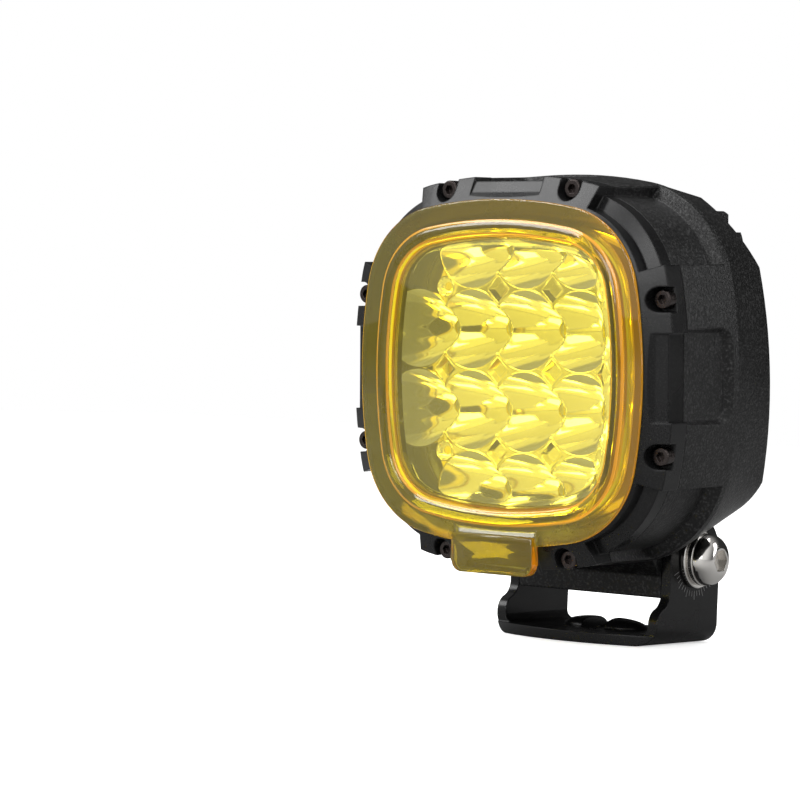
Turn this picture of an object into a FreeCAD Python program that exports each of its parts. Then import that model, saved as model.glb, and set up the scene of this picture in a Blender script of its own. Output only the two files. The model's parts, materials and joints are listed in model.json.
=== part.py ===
"""Square LED fog light with a clip-on amber cover, on a folded U bracket.

Row frame (bracket): origin at the mounting hole on the underside of the bracket, +Z up,
the light shines towards -Y, and the pivot bolts lie along X.
Lamp frame: X to the right of someone facing the light, Y up, Z out of the face, with Z = 0 at
the tops of the bezel screws. Every lamp part is drawn in the lamp frame and then carried into
the row frame by LAMP_PLACEMENT, which aims the light slightly downwards about the pivot.
"""
import FreeCAD, Part
import math
import os
import Sketcher

V = FreeCAD.Vector

DIMENSIONS = {
    # outline of the lamp body: a square with bowed sides and round corners
    "body_half": 90.3,
    "side_radius": 237.6,
    "corner_radius": 54.2,
    "corner_centre": 33.08,
    # depths behind the tops of the bezel screws
    "parting_depth": 12.2,
    "crease_depth": 51.0,
    "rear_depth": 84.0,
    "cavity_depth": 50.6,
    "driver_floor_depth": 60.0,
    # rear face of the housing
    "rear_half": 86.3,
    "rear_top_long": 80.0,
    "rear_top_short": 48.0,
    "rear_low_long": 83.0,
    "rear_low_short": 50.0,
    "rear_upper_radius": 110.0,
    "rear_lower_radius": 40.0,
    "rear_bottom": 68.0,
    "rear_bottom_half": 60.0,
    # recesses round the body, between the screw lugs
    "notch_half": 19.3,
    "notch_floor": 86.2,
    "notch_foot_depth": 43.5,
    "notch_corner": 5.0,
    "notch_taper": 40.0,
    "notch_top_depth": 47.5,
    "corner_inset": 5.7,
    "corner_span": 54.4,
    "cut_outside": 100.0,
    # bezel
    "bezel_inset": 1.3,
    "ring_height": 6.6,
    "ring_inset": 14.5,
    "opening_inset": 25.3,
    "rebate_inset": 17.6,
    "rebate_depth": 6.0,
    "ledge_inset": 11.6,
    "ledge_inner_depth": 2.0,
    "ledge_outer_depth": 4.5,
    # bezel screws
    "screw_near": 34.2,
    "screw_far": 82.5,
    "screw_pocket_radius": 5.6,
    "screw_head_radius": 4.25,
    "screw_head_height": 5.0,
    "screw_radius": 2.5,
    "screw_length": 19.0,
    "screw_clear_radius": 2.75,
    "screw_hex": 4.0,
    "screw_hex_depth": 2.8,
    # seals and lens
    "seal_outer_inset": 8.0,
    "cavity_inset": 11.0,
    "seal_depth": 1.5,
    "lens_inset": 17.9,
    "lens_front_depth": 7.0,
    "lens_thickness": 3.5,
    "lens_seal_inner_inset": 24.5,
    # reflectors and light source
    "reflector_inset": 11.4,
    "rim_depth": 13.7,
    "cup_radius": 18.4,
    "cup_focus": 2.35,
    "cup_wall": 1.4,
    "cup_hole_radius": 4.4,
    "pitch_across": 30.3,
    "pitch_up": 37.2,
    "plate_thickness": 1.8,
    "boss_radius": 5.6,
    "boss_depth": 30.0,
    "boss_across": 45.45,
    "boss_up": 38.0,
    "diamond_half": 4.2,
    "diamond_depth": 0.9,
    "post_radius": 4.4,
    "board_depth": 48.5,
    "board_inset": 14.0,
    "board_thickness": 1.6,
    "pad_thickness": 0.5,
    "small_screw_radius": 1.5,
    "small_head_radius": 2.8,
    "small_head_height": 1.7,
    "emitter_width": 5.0,
    "emitter_thickness": 0.7,
    "emitter_dome": 1.9,
    "wire_hole_radius": 4.0,
    # driver compartment and rear heat sink
    "driver_half": 46.0,
    "driver_low": 44.0,
    "driver_high": 66.0,
    "driver_board_half": 40.0,
    "standoff_height": 5.0,
    "standoff_across": 35.0,
    "standoff_low": 28.0,
    "standoff_high": 52.0,
    "sink_half": 61.5,
    "sink_low": 58.0,
    "sink_high": 76.0,
    "sink_corner": 20.0,
    "sink_plate": 4.0,
    "sink_depth": 100.0,
    "rear_seal": 0.8,
    "fin_pitch": 9.4,
    "fin_gap": 6.8,
    "sink_screw_across": 56.4,
    "sink_screw_rise": 48.0,
    "sink_screw_centre": 12.0,
    "gland_clear_half": 17.0,
    "gland_clear_top": 4.0,
    "gland_drop": 38.0,
    "gland_bore": 3.6,
    "gland_thread": 6.0,
    "vent_drop": 12.0,
    "vent_radius": 6.5,
    # amber cover
    "cover_inset": 12.3,
    "cover_back": 6.9,
    "cover_thickness": 2.0,
    "ridge_outer_inset": 18.9,
    "ridge_inner_inset": 23.9,
    "ridge_height": 1.5,
    "skirt_outer_inset": 25.7,
    "skirt_inner_inset": 27.5,
    "skirt_bottom": 1.5,
    "clip_half": 9.0,
    "clip_reach": 3.0,
    "tab_half": 22.6,
    "tab_top": 71.5,
    "tab_bottom": 90.5,
    "tab_back": 6.9,
    "tab_front": 12.0,
    "tab_corner": 5.0,
    "tab_wall": 2.2,
    # pivot and bracket
    "pivot_drop": 88.0,
    "pivot_depth": 87.0,
    "pivot_forward": 5.0,
    "pivot_height": 40.0,
    "aim_down": 3.0,
    "arm_outer": 45.5,
    "plate": 5.0,
    "bend_radius": 9.0,
    "arm_half_depth": 20.7,
    "arm_bore": 6.06,
    "foot_front": 25.5,
    "foot_bow": 12.5,
    "waist_low": 10.0,
    "waist_high": 24.0,
    "waist_radius": 7.45,
    "mount_hole_radius": 5.25,
    "dome_offset": 6.5,
    "dome_length": 16.0,
    "dome_half_width": 11.0,
    "dome_height": 4.6,
    # pivot block under the housing and the bolts that screw into it
    "block_half": 40.2,
    "block_front_depth": 65.5,
    "block_low": 105.0,
    "block_rear_depth": 108.0,
    "arm_clearance": 21.7,
    "bolt_radius": 6.0,
    "bolt_tip": 20.0,
    "washer_gap": 0.15,
    "washer_radius": 13.6,
    "washer_thickness": 2.5,
    "spring_radius": 12.2,
    "spring_thickness": 3.0,
    "bolt_head_radius": 11.9,
    "bolt_head_edge": 1.6,
    "bolt_head_height": 8.2,
    "bolt_crown_radius": 5.9,
    "bolt_hex": 9.6,
    "bolt_hex_depth": 5.0,
}

doc = FreeCAD.newDocument("fog_light")
sheet = doc.addObject("Spreadsheet::Sheet", "Sizes")
for row, (alias, value) in enumerate(DIMENSIONS.items(), start=1):
    sheet.set(f"A{row}", alias)
    sheet.set(f"B{row}", str(value))
    sheet.setAlias(f"B{row}", alias)
doc.recompute()


def number(expression):
    """The present value of a spreadsheet expression."""
    result = sheet.evalExpression(expression)
    return float(getattr(result, "Value", result))


LAMP_PLACEMENT = FreeCAD.Placement(
    V(0, number("Sizes.pivot_forward"), number("Sizes.pivot_height")),
    FreeCAD.Rotation(V(1, 0, 0), 90 + number("Sizes.aim_down")),
) * FreeCAD.Placement(
    V(0, number("Sizes.pivot_drop"), number("Sizes.pivot_depth")), FreeCAD.Rotation()
)
ROW_PLACEMENT = FreeCAD.Placement()


# ---------------------------------------------------------------- sketch and feature helpers

def new_body(label):
    body = doc.addObject("PartDesign::Body", label)
    body.Label = label
    return body


def origin_item(body, role):
    return [item for item in body.Origin.OriginFeatures if item.Role == role][0]


def new_sketch(body, name, role="XY_Plane", offset=None):
    """A sketch on one of the body's origin planes, moved along its normal by an expression."""
    sketch = body.newObject("Sketcher::SketchObject", name)
    sketch.AttachmentSupport = [(origin_item(body, role), "")]
    sketch.MapMode = "FlatFace"
    if offset:
        sketch.setExpression(".AttachmentOffset.Base.z", offset)
    return sketch


def constrain(sketch, kind, *where, expression):
    index = sketch.addConstraint(Sketcher.Constraint(kind, *where, number(expression)))
    sketch.setExpression(f"Constraints[{index}]", expression)


def fix_point(sketch, curve, end, x, y):
    constrain(sketch, "DistanceX", -1, 1, curve, end, expression=x)
    constrain(sketch, "DistanceY", -1, 1, curve, end, expression=y)


def circle(sketch, x, y, radius):
    centre = V(number(x), number(y), 0)
    curve = sketch.addGeometry(Part.Circle(centre, V(0, 0, 1), number(radius)), False)
    constrain(sketch, "Radius", curve, expression=radius)
    fix_point(sketch, curve, 3, x, y)


def arc_through(start, end, radius):
    """An arc from start to end; a positive radius turns left, a negative one turns right."""
    chord = end - start
    middle = (start + end) * 0.5
    normal = V(-chord.y, chord.x, 0)
    normal.normalize()
    reach = math.sqrt(max(radius**2 - (chord.Length / 2) ** 2, 0.0))
    centre = middle + normal * math.copysign(reach, radius)
    first, last = (start, end) if radius > 0 else (end, start)
    angles = [math.atan2(p.y - centre.y, p.x - centre.x) for p in (first, last)]
    ring = Part.Circle(centre, V(0, 0, 1), abs(radius))
    return Part.ArcOfCircle(ring, angles[0], angles[1])


def profile(sketch, vertices):
    """A closed outline. Each vertex is (x, y) or (x, y, radius of the arc that leaves it)."""
    points = [V(number(v[0]), number(v[1]), 0) for v in vertices]
    curves = []
    for i, vertex in enumerate(vertices):
        start, end = points[i], points[(i + 1) % len(points)]
        if len(vertex) == 3:
            radius = number(vertex[2])
            curve = sketch.addGeometry(arc_through(start, end, radius), False)
            curves.append((curve, 1, 2) if radius > 0 else (curve, 2, 1))
            constrain(sketch, "Radius", curve, expression=f"abs({vertex[2]})")
        else:
            curves.append((sketch.addGeometry(Part.LineSegment(start, end), False), 1, 2))
    for i, (curve, first, last) in enumerate(curves):
        following = curves[(i + 1) % len(curves)]
        link = Sketcher.Constraint("Coincident", curve, last, following[0], following[1])
        sketch.addConstraint(link)
        fix_point(sketch, curve, first, vertices[i][0], vertices[i][1])


def rectangle(sketch, left, low, right, high):
    profile(sketch, [(left, low), (right, low), (right, high), (left, high)])


def rounded_rectangle(sketch, half, low, high, radius):
    """A rectangle symmetric about the sketch's vertical axis, with quarter-round corners."""
    inner = f"({half}) - ({radius})"
    profile(sketch, [
        (f"-({inner})", low), (inner, low, radius),
        (half, f"({low}) + ({radius})"), (half, f"({high}) - ({radius})", radius),
        (inner, high), (f"-({inner})", high, radius),
        (f"-({half})", f"({high}) - ({radius})"), (f"-({half})", f"({low}) + ({radius})", radius),
    ])


def hexagon(sketch, flats):
    corner = f"({flats}) / sqrt(3)"
    profile(sketch, [
        (f"{corner} * cos({angle} deg)", f"{corner} * sin({angle} deg)")
        for angle in range(0, 360, 60)
    ])


def outline(sketch, inset):
    """The body's outline moved inwards: four bowed sides joined by four round corners."""
    side = f"Sizes.side_radius - ({inset})"
    corner = f"Sizes.corner_radius - ({inset})"
    reach = number("Sizes.side_radius - Sizes.body_half")
    middle = number("Sizes.corner_centre")
    half_angle = math.degrees(math.atan2(middle, middle + reach))
    sides, corners = [], []
    for quarter in range(4):
        turn = FreeCAD.Rotation(V(0, 0, 1), 90 * quarter)
        side_circle = Part.Circle(turn.multVec(V(-reach, 0, 0)), V(0, 0, 1), number(side))
        corner_circle = Part.Circle(
            turn.multVec(V(middle, middle, 0)), V(0, 0, 1), number(corner)
        )
        base = 90 * quarter
        low, high = math.radians(base - half_angle), math.radians(base + half_angle)
        far = math.radians(base + 90 - half_angle)
        side_arc = Part.ArcOfCircle(side_circle, low, high)
        sides.append(sketch.addGeometry(side_arc, False))
        corners.append(sketch.addGeometry(Part.ArcOfCircle(corner_circle, high, far), False))
    for i in range(4):
        sketch.addConstraint(Sketcher.Constraint("Tangent", sides[i], 2, corners[i], 1))
        sketch.addConstraint(Sketcher.Constraint("Tangent", corners[i], 2, sides[(i + 1) % 4], 1))
    for i in range(1, 4):
        sketch.addConstraint(Sketcher.Constraint("Equal", sides[0], sides[i]))
        sketch.addConstraint(Sketcher.Constraint("Equal", corners[0], corners[i]))
    constrain(sketch, "Radius", sides[0], expression=side)
    constrain(sketch, "Radius", corners[0], expression=corner)
    offset = "Sizes.side_radius - Sizes.body_half"
    signs = [("-1", "0"), ("0", "-1"), ("1", "0"), ("0", "1")]
    for curve, (x_sign, y_sign) in zip(sides, signs):
        fix_point(sketch, curve, 3, f"{x_sign} * ({offset})", f"{y_sign} * ({offset})")


def extrude(body, kind, name, sketch, length, towards="front"):
    """A pad or pocket that runs along the sketch's normal, against it, or both ways."""
    feature = body.newObject("PartDesign::" + kind, name)
    feature.Profile = sketch
    feature.setExpression("Length", length)
    if towards == "both":
        feature.SideType = "Symmetric"
    else:
        along_normal = towards == "front"
        feature.Reversed = along_normal if kind == "Pocket" else not along_normal
    return feature


def pad(body, name, sketch, length, towards="front"):
    return extrude(body, "Pad", name, sketch, length, towards)


def pocket(body, name, sketch, length, towards="front"):
    """A cut that must take something away."""
    before = solid_volume(body)
    feature = extrude(body, "Pocket", name, sketch, length, towards)
    check_cut(body, feature, before)
    return feature


def solid_volume(body):
    doc.recompute()
    return body.Shape.Volume


def check_cut(body, feature, before):
    after = solid_volume(body)
    if not after < before - 1e-3:
        raise RuntimeError(f"{feature.Label} of {body.Label} cuts nothing")


def loft(body, name, first, second):
    feature = body.newObject("PartDesign::AdditiveLoft", name)
    feature.Profile = first
    feature.Sections = [second]
    feature.Ruled = True
    return feature


def revolve(body, name, sketch):
    feature = body.newObject("PartDesign::Revolution", name)
    feature.Profile = sketch
    feature.ReferenceAxis = (sketch, ["V_Axis"])
    feature.Angle = 360
    return feature


def four_sides(body, name, feature):
    """Repeat a feature on all four sides of the lamp."""
    pattern = body.newObject("PartDesign::PolarPattern", name)
    pattern.Originals = [feature]
    pattern.Axis = (origin_item(body, "Z_Axis"), [""])
    pattern.Angle = 360
    pattern.Occurrences = 4
    body.Tip = pattern
    return pattern


def mirrored(body, name, feature):
    """Repeat a feature on the other side of the lamp's middle plane."""
    mirror = body.newObject("PartDesign::Mirrored", name)
    mirror.Originals = [feature]
    mirror.MirrorPlane = (origin_item(body, "YZ_Plane"), [""])
    body.Tip = mirror
    return mirror


def outline_plate(label, inset, back, thickness, hole=None):
    """A flat sheet or ring with the body's outline."""
    body = new_body(label)
    sketch = new_sketch(body, label + "_outline", offset=back)
    outline(sketch, inset)
    if hole:
        outline(sketch, hole)
    pad(body, label + "_pad", sketch, thickness)
    return body


def turned(label, vertices):
    """A part of revolution about its own Z axis, from (radius, height) vertices."""
    body = new_body(label)
    sketch = new_sketch(body, label + "_profile", "XZ_Plane")
    profile(sketch, vertices)
    revolve(body, label + "_turned", sketch)
    return body


def group(label, template, places):
    """One node that holds a copy of a template part at each (x, y, z) place."""
    doc.recompute()
    copies = []
    for x, y, z in places:
        copy = template.Shape.copy()
        copy.translate(V(x, y, z))
        copies.append(copy)
    node = doc.addObject("Part::Feature", label)
    node.Label = label
    node.Shape = Part.makeCompound(copies)
    return node


# ---------------------------------------------------------------- places that repeat

def screw_places():
    near, far = number("Sizes.screw_near"), number("Sizes.screw_far")
    corners = [(near, far), (far, near)]
    return [(sx * x, sy * y, 0) for x, y in corners for sx in (1, -1) for sy in (1, -1)]


def cup_centres():
    """Three, five, five and three reflector cups, from the top row to the bottom."""
    across, up = number("Sizes.pitch_across"), number("Sizes.pitch_up")
    rows = [(1.5, 1), (0.5, 2), (-0.5, 2), (-1.5, 1)]
    return [(column * across, row * up) for row, reach in rows for column in range(-reach, reach + 1)]


def star_centres():
    """The flat diamonds between the cups."""
    across, up = number("Sizes.pitch_across"), number("Sizes.pitch_up")
    middle = [(column * across, 0) for column in (-1.5, -0.5, 0.5, 1.5)]
    outer = [(column * across, row * up) for row in (-1, 1) for column in (-0.5, 0.5)]
    return middle + outer


def boss_places(depth):
    across, up = number("Sizes.boss_across"), number("Sizes.boss_up")
    return [(sx * across, sy * up, depth) for sx in (1, -1) for sy in (1, -1)]


def board_screw_places(depth):
    return [(x, y, depth) for x, y in star_centres() if abs(x) < 20 or y == 0]


def sink_screw_places(depth):
    across = number("Sizes.sink_screw_across")
    centre, rise = number("Sizes.sink_screw_centre"), number("Sizes.sink_screw_rise")
    return [(side * across, centre + step * rise, depth) for side in (1, -1) for step in (-1, 0, 1)]


def standoff_places(depth):
    across = number("Sizes.standoff_across")
    low, high = number("Sizes.standoff_low"), number("Sizes.standoff_high")
    return [(side * across, y, depth) for side in (1, -1) for y in (-low, high)]


def drill(body, name, places, radius, depth, length):
    """Round holes that run backwards from a given depth behind the screw tops."""
    sketch = new_sketch(body, name + "_circles", offset=f"-({depth})")
    for x, y, _ in places:
        circle(sketch, str(x), str(y), radius)
    return pocket(body, name, sketch, length, "back")


# ---------------------------------------------------------------- mounting bracket

def mounting_bracket():
    body = new_body("mounting_bracket")
    outer, plate, bend = "Sizes.arm_outer", "Sizes.plate", "Sizes.bend_radius"
    inner_bend = f"-({bend} - {plate})"
    top = "Sizes.pivot_height + Sizes.arm_half_depth + 5"
    rear = "(Sizes.pivot_forward + Sizes.arm_half_depth)"
    front = "(Sizes.foot_front + Sizes.foot_bow)"

    section = new_sketch(body, "bracket_section", "XZ_Plane", offset=f"-{rear}")
    profile(section, [
        (f"-{outer}", top), (f"-{outer}", bend, bend), (f"-{outer} + {bend}", "0"),
        (f"{outer} - {bend}", "0", bend), (outer, bend), (outer, top),
        (f"{outer} - {plate}", top), (f"{outer} - {plate}", bend, inner_bend),
        (f"{outer} - {bend}", plate), (f"-{outer} + {bend}", plate, inner_bend),
        (f"-{outer} + {plate}", bend), (f"-{outer} + {plate}", top),
    ])
    pad(body, "bracket_fold", section, f"{rear} + {front}")

    arm_front = "(Sizes.pivot_forward - Sizes.arm_half_depth)"
    pivot_y, pivot_z = "Sizes.pivot_forward", "Sizes.pivot_height"
    foot = "Sizes.foot_front"
    low, high, waist = "Sizes.waist_low", "Sizes.waist_high", "Sizes.waist_radius"
    side = new_sketch(body, "arm_outline", "YZ_Plane")
    profile(side, [
        ("-Sizes.cut_outside", plate), (f"-{foot}", plate), (f"-{foot}", low, f"-{waist}"),
        (f"({arm_front} - {foot}) / 2", f"({low} + {high}) / 2", waist),
        (arm_front, high), (arm_front, pivot_z, "-Sizes.arm_half_depth"),
        (pivot_y, f"{pivot_z} + Sizes.arm_half_depth", "-Sizes.arm_half_depth"),
        (rear, pivot_z), (rear, plate),
        ("Sizes.cut_outside", plate), ("Sizes.cut_outside", "Sizes.cut_outside"),
        ("-Sizes.cut_outside", "Sizes.cut_outside"),
    ])
    pocket(body, "arm_shape", side, "2 * Sizes.cut_outside", "both")

    bow = "(Sizes.arm_outer^2 + Sizes.foot_bow^2) / (2 * Sizes.foot_bow)"
    plan = new_sketch(body, "foot_outline")
    profile(plan, [
        ("-Sizes.cut_outside", "-Sizes.cut_outside"), ("Sizes.cut_outside", "-Sizes.cut_outside"),
        ("Sizes.cut_outside", f"-{foot}"), (outer, f"-{foot}", f"-({bow})"),
        (f"-{outer}", f"-{foot}"), ("-Sizes.cut_outside", f"-{foot}"),
    ])
    pocket(body, "foot_bow_cut", plan, "2 * Sizes.cut_outside", "both")

    for side_sign in ("1", "-1"):
        dome = body.newObject("PartDesign::AdditiveEllipsoid", "locating_dome")
        dome.AttachmentSupport = [(origin_item(body, "XY_Plane"), "")]
        dome.MapMode = "FlatFace"
        dome.setExpression("Radius1", "Sizes.dome_height")
        dome.setExpression("Radius2", "Sizes.dome_length")
        dome.setExpression("Radius3", "Sizes.dome_half_width")
        dome.setExpression(".AttachmentOffset.Base.x", f"{side_sign} * Sizes.dome_offset")
        dome.setExpression(".AttachmentOffset.Base.z", plate)
    shear = new_sketch(body, "dome_shear", offset=plate)
    half_gap, across = "Sizes.dome_offset", "Sizes.dome_half_width + 1"
    rectangle(shear, f"-{half_gap}", f"-({across})", half_gap, across)
    pocket(body, "dome_gap", shear, "2 * Sizes.dome_height", "front")

    bores = new_sketch(body, "pivot_bores", "YZ_Plane")
    circle(bores, pivot_y, pivot_z, "Sizes.arm_bore")
    pocket(body, "pivot_bore_cut", bores, "2 * Sizes.cut_outside", "both")
    hole = new_sketch(body, "mounting_hole")
    circle(hole, "0", "0", "Sizes.mount_hole_radius")
    pocket(body, "mounting_hole_cut", hole, "2 * Sizes.cut_outside", "both")
    return body


# ---------------------------------------------------------------- housing and its rear

def corner_sketch(body, name, vertices):
    """A profile in the diagonal plane of the top right corner, about the corner's own axis."""
    sketch = new_sketch(body, name, "XZ_Plane")
    sketch.AttachmentOffset = FreeCAD.Placement(V(), FreeCAD.Rotation(V(0, 1, 0), 45))
    sketch.setExpression(".AttachmentOffset.Base.x", "Sizes.corner_centre")
    sketch.setExpression(".AttachmentOffset.Base.z", "-Sizes.corner_centre")
    profile(sketch, vertices)
    return sketch


def corner_groove(body, name, vertices):
    """A recess swept round each corner, between the lugs of two neighbouring sides."""
    before = solid_volume(body)
    groove = body.newObject("PartDesign::Groove", name)
    groove.Profile = corner_sketch(body, name + "_profile", vertices)
    groove.ReferenceAxis = (groove.Profile[0], ["V_Axis"])
    groove.setExpression("Angle", "Sizes.corner_span")
    groove.Midplane = True
    pattern = four_sides(body, name + "_pattern", groove)
    check_cut(body, pattern, before)


def side_notch(body, name, vertices):
    """A recess in the middle of each side."""
    sketch = new_sketch(body, name + "_profile", "XZ_Plane")
    profile(sketch, vertices)
    cut = pocket(body, name, sketch, "2 * Sizes.notch_half", "both")
    four_sides(body, name + "_pattern", cut)


def rear_outline(sketch):
    """The smaller rear of the housing: rounded corners, and a raised underside above the arms."""
    half, long, short = "Sizes.rear_half", "Sizes.rear_top_long", "Sizes.rear_top_short"
    foot_long, foot_short = "Sizes.rear_low_long", "Sizes.rear_low_short"
    low, low_half = "Sizes.rear_bottom", "Sizes.rear_bottom_half"
    upper, lower = "Sizes.rear_upper_radius", "Sizes.rear_lower_radius"
    bow = f"({short}^2 + ({half} - {long})^2) / (2 * ({half} - {long}))"
    reach, rise = f"(({short} + {foot_short}) / 2)", f"({half} - ({long} + {foot_long}) / 2)"
    side_bow = f"({reach}^2 + {rise}^2) / (2 * {rise})"
    profile(sketch, [
        (foot_long, f"-{foot_short}", side_bow), (long, short, upper), (short, long, bow),
        (f"-{short}", long, upper), (f"-{long}", short, side_bow),
        (f"-{foot_long}", f"-{foot_short}", lower),
        (f"-{low_half}", f"-{low}"), (low_half, f"-{low}", lower),
    ])


def pivot_block_profile(sketch):
    """Side view of the lug under the housing that the pivot bolts screw into."""
    front, low, rear = "Sizes.block_front_depth", "Sizes.block_low", "Sizes.block_rear_depth"
    profile(sketch, [
        ("-84", f"-({front} - 9)"), ("-95", f"-{front}"), (f"-{low}", f"-{front}"),
        (f"-{low}", f"-({rear} - 6)"), (f"-({low} - 6)", f"-{rear}"), ("-78", f"-{rear}"),
        ("-62", "-92"), ("-62", "-60"),
    ])


def housing():
    body = new_body("housing")
    front = new_sketch(body, "front_section", offset="-Sizes.parting_depth")
    outline(front, "Sizes.bezel_inset")
    crease = new_sketch(body, "crease_section", offset="-Sizes.crease_depth")
    outline(crease, "0")
    loft(body, "front_shell", front, crease)
    crease_again = new_sketch(body, "crease_section_rear", offset="-Sizes.crease_depth")
    outline(crease_again, "0")
    rear = new_sketch(body, "rear_section", offset="-Sizes.rear_depth")
    rear_outline(rear)
    loft(body, "rear_shell", crease_again, rear)

    block = new_sketch(body, "pivot_block_profile", "YZ_Plane")
    pivot_block_profile(block)
    pad(body, "pivot_block", block, "2 * Sizes.block_half", "both")

    parting, foot, top = "-Sizes.parting_depth + 1", "-Sizes.notch_foot_depth", "-Sizes.notch_top_depth"
    recess = new_sketch(body, "side_recess_floor", "YZ_Plane", offset="Sizes.notch_floor")
    half, corner = "Sizes.notch_half", "Sizes.notch_corner"
    profile(recess, [
        (half, f"{foot} + {corner}"), (half, parting), (f"-{half}", parting),
        (f"-{half}", f"{foot} + {corner}", corner), (f"-{half} + {corner}", foot),
        (f"{half} - {corner}", foot, corner),
    ])
    cut = pocket(body, "side_recess", recess, "8")
    cut.setExpression("TaperAngle", "Sizes.notch_taper")
    four_sides(body, "side_recesses", cut)
    radius = "(Sizes.corner_radius - Sizes.corner_inset)"
    corner_groove(body, "corner_recess", [
        (radius, parting), (radius, foot), (f"{radius} + 6", top),
        (f"{radius} + 30", top), (f"{radius} + 30", parting),
    ])

    rebate = new_sketch(body, "seal_rebate", offset="-Sizes.parting_depth")
    outline(rebate, "Sizes.seal_outer_inset")
    pocket(body, "seal_rebate_cut", rebate, "Sizes.seal_depth", "back")
    cavity = new_sketch(body, "light_cavity", offset="-Sizes.parting_depth")
    outline(cavity, "Sizes.cavity_inset")
    pocket(body, "light_cavity_cut", cavity, "Sizes.cavity_depth - Sizes.parting_depth", "back")
    driver = new_sketch(body, "driver_cavity", offset="-Sizes.rear_depth")
    rounded_rectangle(driver, "Sizes.driver_half", "-Sizes.driver_low", "Sizes.driver_high", "8")
    pocket(body, "driver_cavity_cut", driver, "Sizes.rear_depth - Sizes.driver_floor_depth", "front")

    posts = new_sketch(body, "reflector_posts", offset="-Sizes.cavity_depth")
    for x, y, _ in boss_places(0):
        circle(posts, str(x), str(y), "Sizes.post_radius")
    pad(body, "reflector_post_pad", posts, "Sizes.cavity_depth - Sizes.boss_depth")

    parting_depth, small = "Sizes.parting_depth", "Sizes.small_screw_radius"
    drill(body, "bezel_screw_holes", screw_places(), "Sizes.screw_radius", parting_depth, "14")
    drill(body, "post_holes", boss_places(0), small, "Sizes.boss_depth", "12")
    drill(body, "board_holes", board_screw_places(0), small, "Sizes.cavity_depth", "6")
    drill(body, "wire_hole", [(0, 0, 0)], "Sizes.wire_hole_radius", "Sizes.cavity_depth", "20")
    for name, places, radius, depth, length in (
        ("standoff_holes", standoff_places(0), small, "Sizes.driver_floor_depth", "5"),
        ("rear_screw_holes", sink_screw_places(0), "1.65", "Sizes.rear_depth", "10"),
    ):
        sketch = new_sketch(body, name + "_circles", offset=f"-({depth})")
        for x, y, _ in places:
            circle(sketch, str(x), str(y), radius)
        pocket(body, name, sketch, length, "front")

    drop, deep = "-Sizes.pivot_drop", "-Sizes.pivot_depth"
    relief = new_sketch(body, "arm_relief", "YZ_Plane", offset="Sizes.block_half")
    circle(relief, drop, deep, "Sizes.arm_clearance")
    mirrored(body, "arm_relief_left", pocket(body, "arm_relief_right", relief, "24"))
    tapped = new_sketch(body, "bolt_thread", "YZ_Plane", offset="Sizes.bolt_tip - 2")
    circle(tapped, drop, deep, "Sizes.bolt_radius")
    bolt_hole = pocket(body, "bolt_hole_right", tapped, "Sizes.block_half - Sizes.bolt_tip + 3")
    mirrored(body, "bolt_hole_left", bolt_hole)
    return body


def sink_sketch(body, name, depth, margin="0"):
    sketch = new_sketch(body, name, offset=f"-({depth})")
    rounded_rectangle(
        sketch, f"Sizes.sink_half - {margin}", f"-Sizes.sink_low + {margin}",
        f"Sizes.sink_high - {margin}", f"Sizes.sink_corner - {margin}",
    )
    return sketch


def rear_heatsink():
    body = new_body("rear_heatsink")
    back, plate_back = "Sizes.sink_depth", "(Sizes.rear_depth + Sizes.rear_seal + Sizes.sink_plate)"
    block = sink_sketch(body, "sink_block", back)
    pad(body, "sink_pad", block, f"{back} - Sizes.rear_depth - Sizes.rear_seal")
    fin_depth = f"{back} - {plate_back}"
    gap = new_sketch(body, "fin_gap", offset=f"-{back}")
    half_gap = "Sizes.fin_gap / 2"
    first = "6 * Sizes.fin_pitch"
    rectangle(gap, f"-{first} - {half_gap}", "-Sizes.sink_low - 1",
              f"-{first} + {half_gap}", "Sizes.sink_high + 1")
    first_gap = pocket(body, "fin_gap_cut", gap, fin_depth, "front")
    gaps = body.newObject("PartDesign::LinearPattern", "fin_gaps")
    gaps.Originals = [first_gap]
    gaps.Direction = (origin_item(body, "X_Axis"), [""])
    gaps.setExpression("Length", "12 * Sizes.fin_pitch")
    gaps.Occurrences = 13
    body.Tip = gaps
    clear = new_sketch(body, "gland_space", offset=f"-{back}")
    rectangle(clear, "-Sizes.gland_clear_half", "-Sizes.sink_low - 1",
              "Sizes.gland_clear_half", "Sizes.gland_clear_top")
    pocket(body, "gland_space_cut", clear, fin_depth, "front")
    holes = new_sketch(body, "sink_holes", offset=f"-{plate_back}")
    circle(holes, "0", "-Sizes.gland_drop", "Sizes.gland_thread")
    circle(holes, "0", "-Sizes.vent_drop", "2.55")
    for x, y, _ in sink_screw_places(0):
        circle(holes, str(x), str(y), "2.1")
    pocket(body, "sink_holes_cut", holes, "Sizes.sink_plate + 1", "front")
    return body


def rear_seal():
    body = new_body("rear_seal")
    ring = sink_sketch(body, "rear_seal_ring", "Sizes.rear_depth + Sizes.rear_seal", "1")
    rounded_rectangle(ring, "Sizes.driver_half + 1", "-Sizes.driver_low - 1",
                      "Sizes.driver_high + 1", "8")
    for x, y, _ in sink_screw_places(0):
        circle(ring, str(x), str(y), "2.1")
    pad(body, "rear_seal_pad", ring, "Sizes.rear_seal")
    return body


# ---------------------------------------------------------------- bezel, lens and cover

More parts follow.
